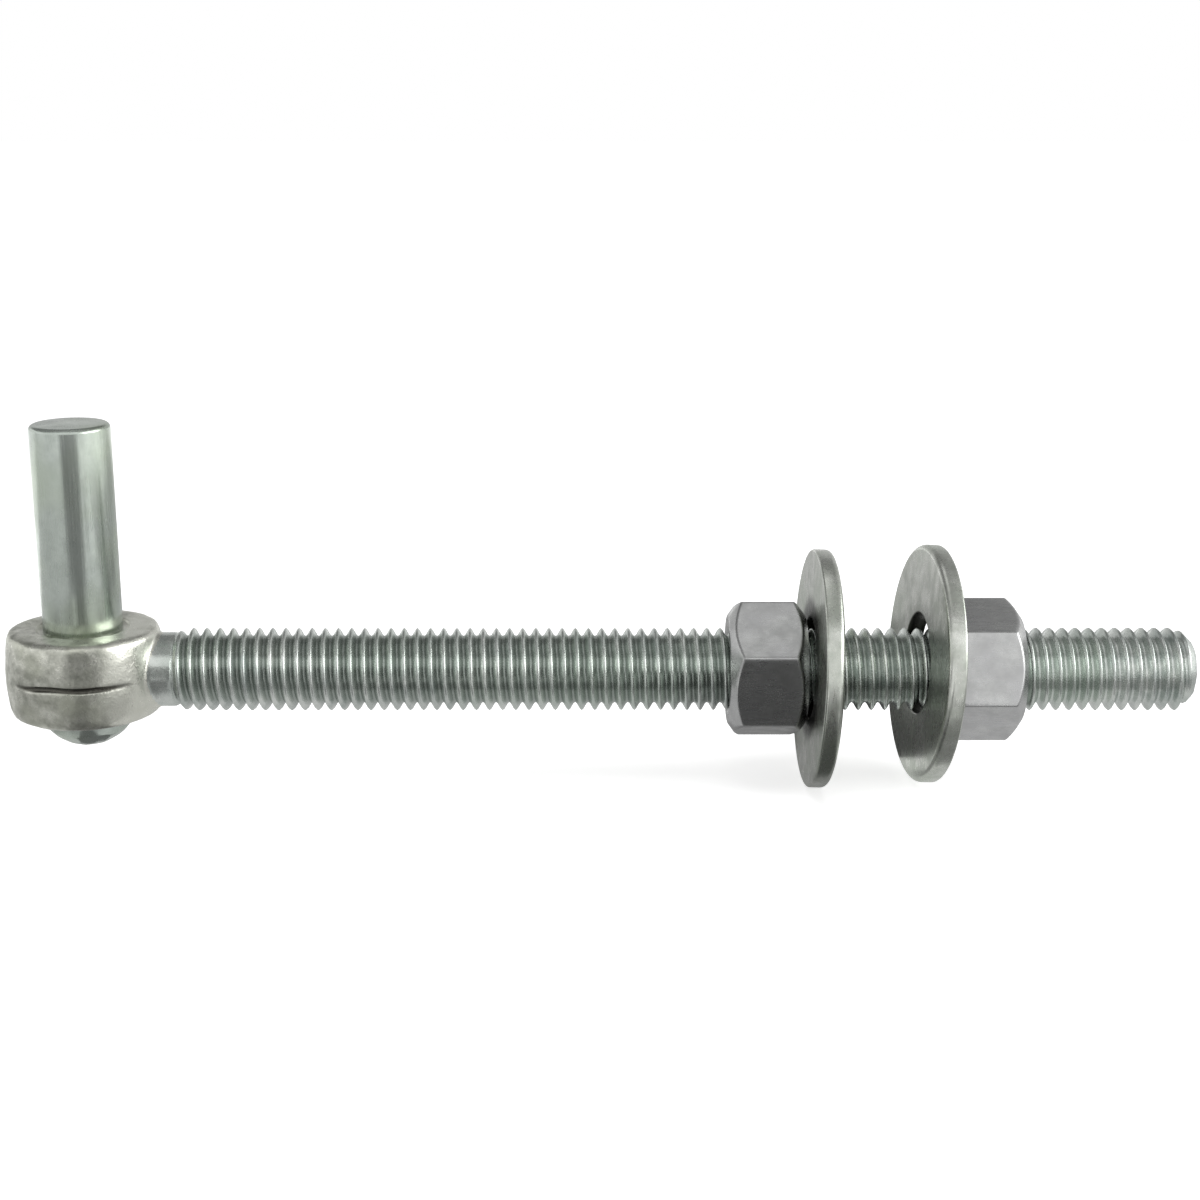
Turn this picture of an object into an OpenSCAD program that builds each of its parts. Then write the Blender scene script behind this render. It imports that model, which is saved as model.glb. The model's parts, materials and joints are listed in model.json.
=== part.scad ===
// Gate hook bolt: a forged eye on a long threaded shank, an upright hinge pin riveted
// through the eye, and two hex nuts with large washers that clamp the shank in a post.
// Frame: the pin stands along +Z and the shank runs along +X. The origin is on the pin's
// axis, level with the top of the eye, where the gate's own eye rests and turns.

/* [Shank] */
// Diameter over the thread crests
shank_d = 16.9; // [12:0.1:20]
// Pitch of the rolled thread
thread_pitch = 2.69; // [1.5:0.01:3]
// Length of the threaded part, from the neck to the tip
thread_len = 207; // [160:1:300]
// Length of the plain neck between the eye and the first thread
neck_len = 2.8; // [1.5:0.1:8]
// Radius of the fillet where the neck leaves the eye
neck_fillet = 1; // [0.4:0.1:1.2]
// Diameter of the flat on the tip, inside its 45 degree chamfer
tip_d = 11.5; // [5:0.1:11.5]

/* [Eye] */
// Outside diameter at mid-height
eye_d = 31.6; // [28:0.1:40]
// Height along the pin
eye_h = 18; // [17.5:0.1:24]
// Radius of the rounded top edge
eye_top_edge_r = 1.6; // [0.5:0.1:3]
// Radius of the rounded bottom edge
eye_bottom_edge_r = 2.6; // [0.5:0.1:4]
// How far the forged side bulges between its edges
eye_crown = 0.8; // [0.3:0.1:1.5]
// Depth of the parting groove round the middle
groove_depth = 0.7; // [0.2:0.1:1.2]
// Radius of the parting groove's round bottom
groove_r = 0.9; // [0.5:0.1:1.5]

/* [Hinge pin] */
// Diameter of the upright pin
pin_d = 15.9; // [14:0.1:18]
// Height of the pin above the eye
pin_rise = 41.8; // [30:0.1:60]
// Radius of the rounded edge at the top of the pin
pin_edge_r = 1; // [0.3:0.1:3]
// Diameter of the tenon that passes through the eye
tenon_d = 12.7; // [8:0.1:13.5]
// Clearance all round the tenon in its hole
tenon_clearance = 0.05; // [0.02:0.01:0.2]
// Depth of the spot face that seats the pin's shoulder
seat_depth = 0.6; // [0.3:0.1:1.5]
// Width of the spot face that shows round the pin
seat_margin = 1.2; // [0.8:0.1:2]
// Diameter of the riveted head under the eye
rivet_d = 16.2; // [14:0.1:18]
// Height of the straight edge of the riveted head
rivet_edge_h = 3; // [0.5:0.1:4]
// Height of the dome of the riveted head
rivet_dome_h = 3.8; // [1:0.1:4.5]

/* [Nuts] */
// Width across the flats
nut_flats = 25.5; // [23:0.1:30]
// Height along the shank
nut_h = 15.8; // [8:0.1:18]
// Diameter of the flat ring inside the corner chamfers
nut_face_d = 22; // [20:0.1:23]
// Angle of the corner chamfers
nut_chamfer_angle = 35; // [15:1:45]
// Radial clearance between the nut and the thread crests
thread_clearance = 0.06; // [0.03:0.01:0.2]
// Turn of the inner nut about the shank
inner_nut_turn = 5; // [0:0.5:60]
// Turn of the outer nut about the shank
outer_nut_turn = 43.5; // [0:0.5:60]

/* [Washers] */
// Outside diameter
washer_d = 48.5; // [40:0.1:60]
// Thickness
washer_t = 3.7; // [2:0.1:5]
// How much wider than the thread the hole is
washer_play = 3.4; // [1.2:0.1:4]
// Radius of the rolled edge on the side the punch entered
washer_roll_r = 1.2; // [0.2:0.1:1.3]
// Chamfer left by the burr on the other side
washer_burr = 0.3; // [0.1:0.1:0.6]
// Lean of the inner washer away from square to the shank
inner_lean_angle = 2.7; // [0:0.1:8]
// Lean of the outer washer away from square to the shank
outer_lean_angle = 6.3; // [0:0.1:8]
// Turn about the shank of the way the inner washer leans
inner_lean_turn = -48; // [-180:1:180]
// Turn about the shank of the way the outer washer leans
outer_lean_turn = -31; // [-180:1:180]
// Turn about the shank of the way the inner washer has slipped until its hole is caught
inner_slip_turn = 67; // [-180:1:180]
// Turn about the shank of the way the outer washer has slipped until its hole is caught
outer_slip_turn = 6; // [-180:1:180]

/* [Assembly] */
// Thread left showing past the outer nut
free_thread = 35; // [8:0.5:60]
// Space between the washers, on the shank's axis
grip = 18.4; // [8:0.1:60]
// Gap left between pieces that rest on each other
contact_gap = 0.15; // [0.05:0.01:0.3]

/* [Hidden] */
$fn = 96;
// Sides of the helix in one turn
thread_sides = 24;

zinc_pin = [0.70, 0.73, 0.71];
zinc_forged = [0.68, 0.67, 0.63];
zinc_nut = [0.62, 0.62, 0.62];
zinc_washer = [0.66, 0.68, 0.66];

shank_r = shank_d / 2;
eye_r = eye_d / 2;
pin_r = pin_d / 2;
tenon_r = tenon_d / 2;
rivet_r = rivet_d / 2;
washer_r = washer_d / 2;
washer_hole_r = shank_r + washer_play / 2;
nut_bore_r = shank_r + thread_clearance;
nut_corner_r = nut_flats / 2 / cos(30);

// The shank leaves the eye at its mid-height.
shank_z = -eye_h / 2;
thread_start = eye_r + neck_len;
tip_x = thread_start + thread_len;
// A rolled thread swells out of a blank of its own pitch diameter, which the neck keeps.
neck_r = shank_r - 0.65 * thread_pitch / 2;
// Depth of a thread of this pitch, which the mouths of the nuts are countersunk to clear.
thread_depth = 0.613 * thread_pitch;
root_r = shank_r - thread_depth;

// Half of a leaning washer's thickness, measured along the shank.
function half_span(lean) = washer_t / 2 / cos(lean);
// How far a leaning washer slips sideways before the edge of its hole is caught on the thread.
function slip(lean) =
    washer_hole_r * cos(lean) - washer_t / 2 * sin(lean) - shank_r - contact_gap;
// How far a leaning washer reaches along the shank where it rests on a nut's flat ring.
function lean_reach(lean, turn) =
    half_span(lean) + (nut_face_d / 2 + slip(lean) * sin(turn)) * tan(lean);

// Along the shank, the pieces are placed from the tip inwards.
outer_nut_x = tip_x - free_thread - nut_h;
outer_washer_x = outer_nut_x - contact_gap
    - lean_reach(outer_lean_angle, outer_lean_turn - outer_slip_turn);
inner_washer_x = outer_washer_x - grip - half_span(outer_lean_angle) - half_span(inner_lean_angle);
inner_nut_x = inner_washer_x - contact_gap - nut_h
    - lean_reach(inner_lean_angle, inner_slip_turn - inner_lean_turn);

// Turns a shape made about Z so that it lies about the shank, starting at x.
module on_shank(x) {
    translate([x, 0, shank_z]) rotate([0, 90, 0]) children();
}

// What an arc of radius r leaves outside it in the upper right corner at [x, y].
module outside_corner(x, y, r) {
    translate([x - r, y - r]) difference() {
        square(2 * r);
        circle(r);
    }
}

// Half section of the forged eye: rounded edges, a bulging side and the parting groove.
module eye_section() {
    crown_r = (pow(eye_h / 2, 2) + pow(eye_crown, 2)) / (2 * eye_crown);
    edge_x = eye_r - eye_crown / 2;
    translate([0, shank_z]) difference() {
        intersection() {
            translate([0, -eye_h / 2]) square([eye_r, eye_h]);
            translate([eye_r - crown_r, 0]) circle(crown_r, $fn = 180);
        }
        outside_corner(edge_x, eye_h / 2, eye_top_edge_r);
        mirror([0, 1]) outside_corner(edge_x, eye_h / 2, eye_bottom_edge_r);
        translate([eye_r + groove_r - groove_depth, 0]) circle(groove_r);
    }
}

// Half section of the plain neck, with its length along Y, and the fillet where it leaves the eye.
module neck_section() {
    fillet_x = eye_r - eye_crown;
    square([neck_r, thread_start]);
    difference() {
        translate([0, fillet_x - neck_fillet]) square([neck_r + neck_fillet, 2 * neck_fillet]);
        translate([neck_r + neck_fillet, fillet_x + neck_fillet]) circle(neck_fillet);
    }
}

// Half section of the space that the thread fills, from inside the neck to the chamfered tip.
module thread_section() {
    chamfer = (shank_d - tip_d) / 2;
    polygon([
        [0, thread_start - neck_len / 2], [neck_r, thread_start - neck_len / 2], [neck_r, thread_start],
        [shank_r, thread_start + shank_r - neck_r],
        [shank_r, tip_x - chamfer], [tip_d / 2, tip_x], [0, tip_x],
    ]);
}

// The helix is wound in rows, crest and root by turns, two rows to a pitch.
first_row = 2 * floor(thread_start / thread_pitch) - 4;
row_count = 2 * ceil((tip_x - first_row / 2 * thread_pitch) / thread_pitch) + 3;
// A point of a row, some sides round the shank from the way of +Y.
function thread_point(row, side) =
    let (turn = 360 * side / thread_sides, r = row % 2 == 0 ? shank_r : root_r)
    [((first_row + row) / 2 + side / thread_sides) * thread_pitch, r * cos(turn), r * sin(turn)];
// A point on the axis, in the middle of the turn that starts with a row.
function thread_middle(row) = [(first_row + row + 1) / 2 * thread_pitch, 0, 0];
// Place of a point in the list: past a full turn, a row runs on into the next but one.
function thread_index(row, side) =
    side == thread_sides ? thread_index(row + 2, 0)
    : row < row_count ? row * thread_sides + side : row_count * thread_sides + row - row_count;

// A right-hand screw about the X axis, as one sheet of flanks closed on the axis at both ends.
module helix() {
    last = row_count - 1;
    points = concat(
        [for (row = [0 : last], side = [0 : thread_sides - 1]) thread_point(row, side)],
        [thread_point(last + 1, 0), thread_point(last + 2, 0), thread_middle(0), thread_middle(last)]
    );
    start = len(points) - 2;
    end = len(points) - 1;
    flanks = [for (row = [0 : last - 1], side = [0 : thread_sides - 1]) each [
        [thread_index(row, side), thread_index(row + 1, side), thread_index(row, side + 1)],
        [thread_index(row + 1, side), thread_index(row + 1, side + 1), thread_index(row, side + 1)],
    ]];
    start_rim = [for (side = [0 : thread_sides]) thread_index(0, side), thread_index(1, 0)];
    end_rim = [for (side = [0 : thread_sides]) thread_index(last, side), thread_index(last + 1, 0)];
    rim = len(start_rim);
    caps = [for (i = [0 : rim - 1]) each [
        [start, start_rim[i], start_rim[(i + 1) % rim]],
        [end, end_rim[(i + 1) % rim], end_rim[i]],
    ]];
    polyhedron(points, concat(flanks, caps), convexity = 10);
}

// The thread rolled on the shank: it rises out of the neck and ends in the chamfered tip.
module thread() {
    intersection() {
        translate([0, 0, shank_z]) helix();
        on_shank(0) rotate_extrude() thread_section();
    }
}

// The eye and its threaded shank, forged and rolled from one bar.
module eye_bolt() color(zinc_forged) {
    difference() {
        union() {
            rotate_extrude() eye_section();
            on_shank(0) rotate_extrude() neck_section();
            thread();
        }
        translate([0, 0, -2 * eye_h]) cylinder(r = tenon_r + tenon_clearance, h = 3 * eye_h);
        translate([0, 0, -seat_depth]) cylinder(r = pin_r + seat_margin, h = eye_h);
    }
}

// Half section of the pin: rounded top, shoulder, tenon and the head riveted under the eye.
module pin_section() {
    dome_r = (pow(rivet_r, 2) + pow(rivet_dome_h, 2)) / (2 * rivet_dome_h);
    difference() {
        translate([0, -seat_depth]) square([pin_r, pin_rise + seat_depth]);
        outside_corner(pin_r, pin_rise, pin_edge_r);
    }
    translate([0, -eye_h]) square([tenon_r, eye_h - seat_depth]);
    translate([0, -eye_h - rivet_edge_h]) {
        square([rivet_r, rivet_edge_h]);
        intersection() {
            translate([0, dome_r - rivet_dome_h]) circle(dome_r, $fn = 90);
            translate([0, -rivet_dome_h]) square([rivet_r, rivet_dome_h]);
        }
    }
}

module hinge_pin() color(zinc_pin) rotate_extrude() pin_section();

// A hex nut about Z, standing on its lower face, chamfered on the corners at both ends.
module hex_nut() {
    chamfer_h = (nut_corner_r - nut_face_d / 2) * tan(nut_chamfer_angle);
    difference() {
        intersection() {
            cylinder(r = nut_corner_r, h = nut_h, $fn = 6);
            rotate_extrude() polygon([
                [0, 0], [nut_face_d / 2, 0], [nut_corner_r, chamfer_h],
                [nut_corner_r, nut_h - chamfer_h], [nut_face_d / 2, nut_h], [0, nut_h],
            ]);
        }
        translate([0, 0, -1]) cylinder(r = nut_bore_r, h = nut_h + 2);
        for (end = [0, 1]) translate([0, 0, end * nut_h]) mirror([0, 0, end])
            cylinder(r1 = nut_bore_r + thread_depth / 2, r2 = nut_bore_r, h = thread_depth / 2);
    }
}

module inner_nut() color(zinc_nut) on_shank(inner_nut_x) rotate(inner_nut_turn) hex_nut();

module outer_nut() color(zinc_nut) on_shank(outer_nut_x) rotate(outer_nut_turn) hex_nut();

// A punched washer about Z, centred in its thickness: rolled edge above, burr chamfer below.
module washer() {
    rotate_extrude() difference() {
        translate([washer_hole_r, -washer_t / 2]) square([washer_r - washer_hole_r, washer_t]);
        outside_corner(washer_r, washer_t / 2, washer_roll_r);
        translate([washer_r, -washer_t / 2]) rotate(45) square(washer_burr * sqrt(2), center = true);
    }
}

// A washer loose on the shank at x: it leans one way and has slipped another until it caught.
module loose_washer(x, lean, lean_turn, slip_turn) {
    translate([x, 0, shank_z]) rotate([slip_turn, 0, 0]) translate([0, 0, slip(lean)])
        rotate([lean_turn - slip_turn, 0, 0]) rotate(lean) rotate([0, 90, 0]) children();
}

module inner_washer() color(zinc_washer)
    loose_washer(inner_washer_x, inner_lean_angle, inner_lean_turn, inner_slip_turn) washer();

module outer_washer() color(zinc_washer)
    loose_washer(outer_washer_x, outer_lean_angle, outer_lean_turn, outer_slip_turn)
        mirror([0, 0, 1]) washer();

eye_bolt();
hinge_pin();
inner_nut();
inner_washer();
outer_washer();
outer_nut();
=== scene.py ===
"""Gate hook bolt, dressed: forged eye with a rolled thread, riveted hinge pin, hex nuts and washers.

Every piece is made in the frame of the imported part, in metres, and stands for its plain solid.
"""

import json
import math

import bmesh
import bpy
from mathutils import Matrix, Vector, noise


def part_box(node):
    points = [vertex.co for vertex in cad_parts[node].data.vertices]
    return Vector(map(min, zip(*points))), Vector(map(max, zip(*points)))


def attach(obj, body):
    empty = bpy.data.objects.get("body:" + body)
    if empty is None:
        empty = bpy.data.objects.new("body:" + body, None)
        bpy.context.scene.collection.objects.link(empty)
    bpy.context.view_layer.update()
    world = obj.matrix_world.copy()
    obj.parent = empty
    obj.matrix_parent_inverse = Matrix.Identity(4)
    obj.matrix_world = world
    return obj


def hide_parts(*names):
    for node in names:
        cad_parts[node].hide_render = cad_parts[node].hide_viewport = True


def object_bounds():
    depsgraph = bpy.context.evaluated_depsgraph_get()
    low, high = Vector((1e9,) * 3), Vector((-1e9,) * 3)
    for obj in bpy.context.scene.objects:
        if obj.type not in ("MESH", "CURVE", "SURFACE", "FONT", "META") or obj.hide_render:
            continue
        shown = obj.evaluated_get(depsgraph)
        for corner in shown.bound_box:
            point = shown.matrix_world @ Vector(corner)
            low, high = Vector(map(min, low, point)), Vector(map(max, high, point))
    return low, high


bl_info = {
    "name": "Gate hook bolt",
    "version": (1, 0, 0),
    "blender": (4, 5, 0),
    "location": "View3D > Sidebar > Gate hook",
    "description": "Makes a zinc plated gate hook bolt with its nuts and washers, and a studio for it",
    "category": "Object",
}

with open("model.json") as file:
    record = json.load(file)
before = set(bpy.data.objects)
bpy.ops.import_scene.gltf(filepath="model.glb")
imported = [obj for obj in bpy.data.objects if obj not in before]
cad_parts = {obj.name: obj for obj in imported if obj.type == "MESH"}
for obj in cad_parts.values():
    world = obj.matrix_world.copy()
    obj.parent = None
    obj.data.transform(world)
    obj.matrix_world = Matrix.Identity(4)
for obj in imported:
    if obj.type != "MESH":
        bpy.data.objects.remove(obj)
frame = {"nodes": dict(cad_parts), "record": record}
CAD_LOW, CAD_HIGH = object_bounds()
MM = 0.001
EYE_LOW, EYE_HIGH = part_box("eye_bolt")
PIN_LOW, PIN_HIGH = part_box("hinge_pin")
MOUNTS = {mount["name"]: mount for mount in frame["record"]["mounts"]}
# The shank leaves the eye at its mid-height.
AXIS_Z = EYE_LOW.z / 2
# A thread is drawn with eight points to a pitch, on the same places in the bar and in the nuts.
THREAD_POINTS = 8
# How finely the pieces are drawn: points round each, rows over a nut, and steps in the rivet's dome.
SHANK_AROUND = 65
NUT_AROUND = 145
PIN_AROUND = 144
WASHER_AROUND = 160
NUT_ROWS = 81
DOME_STEPS = 16
# Steps that settle a leaning washer's axis.
AXIS_STEPS = 24
# Slope and start of a thread's flank, in depths, over half a pitch.
FLANK_RISE = 1.4
FLANK_START = -1.23
# Waves of the parting line and how far it wanders, and the size of the hollows that the dies left.
PARTING_WAVE = 14 * MM
PARTING_WANDER = 1.6 * MM
HOLLOW_SIZE = 4.5 * MM
# The shank's bar starts inside the eye, and the painted shade in its thread's roots fades out over this
# stretch near the tip.
SHANK_START = 9 * MM
FREE_END = (180 * MM, 195 * MM)
# The eye's colour is painted lighter over this stretch towards the neck, as painted light.
BRIGHT = (6 * MM, 10 * MM)
# Strengths of the even light and of the floor's own glow, and half the floor's side.
WORLD_LIGHT = 0.45
FLOOR_GLOW = 0.68
FLOOR_HALF = 4.0
# The camera's lens in millimetres, its place, and how far it looks down, in degrees.
CAMERA_LENS = 59.37
CAMERA_PLACE = (105.15 * MM, -387.73 * MM, 108.63 * MM)
CAMERA_DIP = 14.883
# Kinds of node that fill the trees.
MATH = "ShaderNodeMath"
VECTOR_MATH = "ShaderNodeVectorMath"
NOISE = "ShaderNodeTexNoise"
MIX = "ShaderNodeMix"
COMBINE = "ShaderNodeCombineXYZ"
SEPARATE = "ShaderNodeSeparateXYZ"


def linear(hex_colour):
    """Turns an sRGB hex colour into linear red, green and blue."""
    parts = [int(hex_colour[i : i + 2], 16) / 255 for i in (1, 3, 5)]
    return [c / 12.92 if c <= 0.04045 else ((c + 0.055) / 1.055) ** 2.4 for c in parts]


def length(name, description, millimetres):
    """A size that a user may change, kept in metres."""
    return bpy.props.FloatProperty(
        name=name, description=description, default=millimetres * MM, unit="LENGTH", precision=5
    )


def angle(name, description, degrees):
    """An angle that a user may change, kept in radians."""
    return bpy.props.FloatProperty(
        name=name, description=description, default=math.radians(degrees), subtype="ANGLE"
    )


def colour(name, description, hex_colour):
    """A colour that a user may change, given in sRGB."""
    return bpy.props.FloatVectorProperty(
        name=name, description=description, default=linear(hex_colour), subtype="COLOR"
    )


class HookSizes(bpy.types.PropertyGroup):
    """Sizes of the hook's pieces."""

    crest_d: length("Thread diameter", "Over the thread's crests", 16.9)
    pitch: length("Thread pitch", "Distance from crest to crest", 2.69)
    thread_depth: length("Thread depth", "From crest to root", 1.649)
    thread_start: length("Thread start", "Where the thread rises out of the neck", 18.6)
    neck_d: length("Neck diameter", "Blank that the thread was rolled from", 15.15)
    tip_d: length("Tip diameter", "Flat on the end of the shank", 11.5)
    eye_crown: length("Eye crown", "Bulge of the eye's side", 0.8)
    eye_top_edge: length("Eye top edge", "Softness of the eye's upper edge", 2.4)
    eye_bottom_edge: length("Eye bottom edge", "Softness of the eye's lower edge", 4.0)
    neck_blend: length("Neck blend", "Softness of the joint of neck and eye", 1.0)
    groove_r: length("Groove radius", "Round bottom of the parting groove", 0.5)
    groove_depth: length("Groove depth", "Depth of the parting groove", 0.55)
    bore_d: length("Bore diameter", "Hole for the pin's tenon", 12.8)
    seat_d: length("Seat diameter", "Spot face round the pin", 18.3)
    seat_depth: length("Seat depth", "Depth of the spot face", 0.6)
    forge_bump: length("Forging unevenness", "Hollows that the dies left", 0.34)
    voxel: length("Forging grain", "Grid on which the forging is worked out", 0.3)
    pin_edge: length("Pin edge", "Rounding of the pin's top edge", 1.0)
    tenon_d: length("Tenon diameter", "Part of the pin inside the eye", 12.7)
    rivet_edge: length("Rivet edge", "Straight edge of the riveted head", 3.0)
    nut_flats: length("Nut flats", "Width across the flats", 25.5)
    nut_face_d: length("Nut face", "Flat ring inside the corner chamfers", 22)
    nut_mouth_d: length("Nut mouth", "Countersink at the ends of the nut's thread", 18.7)
    nut_clearance: length("Nut clearance", "Room between the threads", 0.1)
    nut_edge: length("Nut edge", "Softness of the nut's edges", 0.45)
    nut_chamfer: angle("Nut chamfer", "Angle of the corner chamfers", 35)
    inner_nut_turn: angle("Inner nut turn", "Turn of the inner nut about the shank", -85)
    outer_nut_turn: angle("Outer nut turn", "Turn of the outer nut about the shank", -46.5)
    washer_d: length("Washer diameter", "Outside diameter", 48.5)
    washer_hole_d: length("Washer hole", "Diameter of the hole", 20.3)
    washer_t: length("Washer thickness", "Thickness of the sheet", 3.7)
    washer_roll: length("Washer rolled edge", "Edge that the punch drew over", 1.2)
    washer_burr: length("Washer burr edge", "Edge that the punch broke off", 0.5)


class HookFinishes(bpy.types.PropertyGroup):
    """Colours of the zinc plate on the hook's pieces."""

    forged_light: colour("Forged, light", "Bright places on the eye", "#dfe0d6")
    forged_shade: colour("Forged, shade", "Dull places on the eye", "#9d9f95")
    forged_film: colour("Forged, film", "Passivated film on the eye", "#bdc0b1")
    # Painted shade in the parting groove.
    forged_groove_shade: colour("Forged, groove shade", "Painted shade in the parting groove", "#5a5953")
    thread_light: colour("Thread, light", "Bright places on the thread", "#e1e4e0")
    thread_shade: colour("Thread, shade", "Dull places on the thread", "#b0b8b4")
    thread_film: colour("Thread, film", "Passivated film on the thread", "#bfc8c0")
    # Painted shade at the thread's root.
    thread_root_shade: colour("Thread, root shade", "Painted shade at the thread's root", "#98a09a")
    pin_light: colour("Pin, light", "Bright places on the pin", "#cad2cb")
    pin_shade: colour("Pin, shade", "Dull places on the pin", "#b1b9b2")
    pin_film: colour("Pin, film", "Passivated film on the pin", "#b9c4b2")
    nut_light: colour("Nut, light", "Bright places on the nuts", "#c6c7c6")
    nut_shade: colour("Nut, shade", "Dull places on the nuts", "#a7a8a7")
    nut_film: colour("Nut, film", "Passivated film on the nuts", "#b6b6b7")
    washer_light: colour("Washer, light", "Bright places on the washers", "#d8dad4")
    washer_shade: colour("Washer, shade", "Dull places on the washers", "#acb0a8")
    washer_film: colour("Washer, film", "Passivated film on the washers", "#b4bcaf")
    # Painted shade in the hole, and the nut's painted shadow on the washer.
    washer_painted_shade: colour("Washer, painted shade", "Painted shade in the hole, and the nut's painted shadow", "#4c4e48")


def add(tree, kind, links=None, operation=None, **settings):
    """Adds a node with its settings, and fills or links the inputs that links names."""
    made = tree.nodes.new(kind)
    if operation:
        made.operation = operation
    for name, value in settings.items():
        setattr(made, name, value)
    for socket, value in (links or {}).items():
        if isinstance(value, bpy.types.Node):
            value = value.outputs[0]
        if isinstance(value, bpy.types.NodeSocket):
            tree.links.new(value, made.inputs[socket])
        else:
            made.inputs[socket].default_value = value
    return made


def ramp(tree, value, start, end, first=0.0, last=1.0, blend="LINEAR"):
    """Runs from first to last while a value goes from start to end, and stays level beyond."""
    links = {"Value": value, "From Min": start, "From Max": end, "To Min": first, "To Max": last}
    return add(tree, "ShaderNodeMapRange", links, interpolation_type=blend)


def bare_tree(owner):
    """Gives a material or a world an empty node tree."""
    owner.use_nodes = True
    owner.node_tree.nodes.clear()
    return owner.node_tree


def new_tree(name, values, output="Geometry"):
    """A geometry tree with an input of the right kind for each value; returns the tree and its inputs."""
    kinds = {float: "Float", int: "Int", Vector: "Vector", bpy.types.Material: "Material"}
    tree = bpy.data.node_groups.new(name, "GeometryNodeTree")
    for label, value in values.items():
        tree.interface.new_socket(label, in_out="INPUT", socket_type="NodeSocket" + kinds[type(value)])
    kind = "NodeSocketGeometry" if output == "Geometry" else "NodeSocketFloat"
    tree.interface.new_socket(output, in_out="OUTPUT", socket_type=kind)
    return tree, add(tree, "NodeGroupInput").outputs


def grown(name, tree, values):
    """Evaluates a tree with these input values and keeps the result as a plain mesh object."""
    piece = bpy.data.objects.new(name, bpy.data.meshes.new(name))
    bpy.context.scene.collection.objects.link(piece)
    modifier = piece.modifiers.new(name, "NODES")
    modifier.node_group = tree
    for item in tree.interface.items_tree:
        if item.in_out == "INPUT":
            modifier[item.identifier] = values[item.name]
    depsgraph = bpy.context.evaluated_depsgraph_get()
    mesh = bpy.data.meshes.new_from_object(piece.evaluated_get(depsgraph))
    piece.modifiers.clear()
    piece.data = mesh
    outward(mesh)
    return piece


def outward(mesh):
    """Merges doubles, turns every face outwards and smooths the shading."""
    shape = bmesh.new()
    shape.from_mesh(mesh)
    bmesh.ops.remove_doubles(shape, verts=shape.verts, dist=1e-6)
    bmesh.ops.dissolve_degenerate(shape, edges=shape.edges, dist=1e-7)
    bmesh.ops.recalc_face_normals(shape, faces=shape.faces)
    for face in shape.faces:
        face.smooth = True
    shape.to_mesh(mesh)
    shape.free()


def set_on(piece, body, node):
    """Lets a piece ride on its body and stand for its solid."""
    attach(piece, body)
    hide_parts(node)


def thread_profile_tree():
    """Radius of a 60 degree thread at a place along its helix, with a crest on each whole pitch."""
    values = dict.fromkeys(("Along", "Pitch", "Crest", "Depth"), 0.0)
    tree, given = new_tree("Thread profile", values, "Radius")
    turns = add(tree, MATH, {0: given["Along"], 1: given["Pitch"]}, "DIVIDE")
    share = add(tree, MATH, {0: turns}, "FRACT")
    swing = add(tree, MATH, {0: share, 1: 2.0, 2: -1.0}, "MULTIPLY_ADD")
    rise = add(tree, MATH, {0: swing}, "ABSOLUTE")
    # The flanks rise at 60 degrees between a narrow root and a narrow crest.
    flank = add(tree, MATH, {0: rise, 1: FLANK_RISE, 2: FLANK_START}, "MULTIPLY_ADD")
    height = add(tree, "ShaderNodeClamp", {"Value": flank, "Min": -1.0, "Max": 0.0})
    radius = add(tree, MATH, {0: height, 1: given["Depth"], 2: given["Crest"]}, "MULTIPLY_ADD")
    add(tree, "NodeGroupOutput", {"Radius": radius})
    return tree


def rolled_up(tree, sheet, along, radius, turn, axis_z):
    """Rolls a sheet up: each point gets a place along the shank, a radius and a turn about its axis."""
    side = add(tree, MATH, {0: turn}, "COSINE")
    rise = add(tree, MATH, {0: turn}, "SINE")
    y = add(tree, MATH, {0: side, 1: radius}, "MULTIPLY")
    z = add(tree, MATH, {0: rise, 1: radius, 2: axis_z}, "MULTIPLY_ADD")
    point = add(tree, COMBINE, {"X": along, "Y": y, "Z": z})
    return add(tree, "GeometryNodeSetPosition", {"Geometry": sheet, "Position": point})


def distance(tree, **parts):
    """Length of an arm with these parts along X, Y and Z."""
    arm = add(tree, COMBINE, parts)
    return add(tree, VECTOR_MATH, {0: arm}, "LENGTH").outputs["Value"]


def thread_radius(tree, given, profile, along):
    """Radius of the thread at a place along its helix, from the sizes that a tree was given."""
    sizes = {"Pitch": "Pitch", "Crest": "Crest radius", "Depth": "Thread depth"}
    links = {socket: given[size] for socket, size in sizes.items()}
    return add(tree, "GeometryNodeGroup", {"Along": along, **links}, node_tree=profile)


def parting_line(tree, part, up, radius):
    """Distance from the line where the forging dies parted.

    It wanders a little, and runs out of the eye's side towards the neck and the far end.
    """
    out = distance(tree, X=part["X"], Y=part["Y"])
    flat = add(tree, COMBINE, {"X": part["X"], "Y": part["Y"]})
    wander = add(tree, NOISE, {"Vector": flat, "Scale": 1 / PARTING_WAVE, "Detail": 1.0})
    wander = add(tree, MATH, {0: wander, 1: 0.5}, "SUBTRACT")
    wander = add(tree, MATH, {0: wander, 1: PARTING_WANDER, 2: up}, "MULTIPLY_ADD")
    beside = add(tree, MATH, {0: out, 1: radius}, "SUBTRACT")
    aside = add(tree, MATH, {0: part["X"]}, "ABSOLUTE")
    lift = ramp(tree, aside, 6 * MM, 13 * MM, last=0.9 * MM)
    beside = add(tree, MATH, {0: beside, 1: lift}, "SUBTRACT")
    return distance(tree, X=beside, Y=wander)


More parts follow.
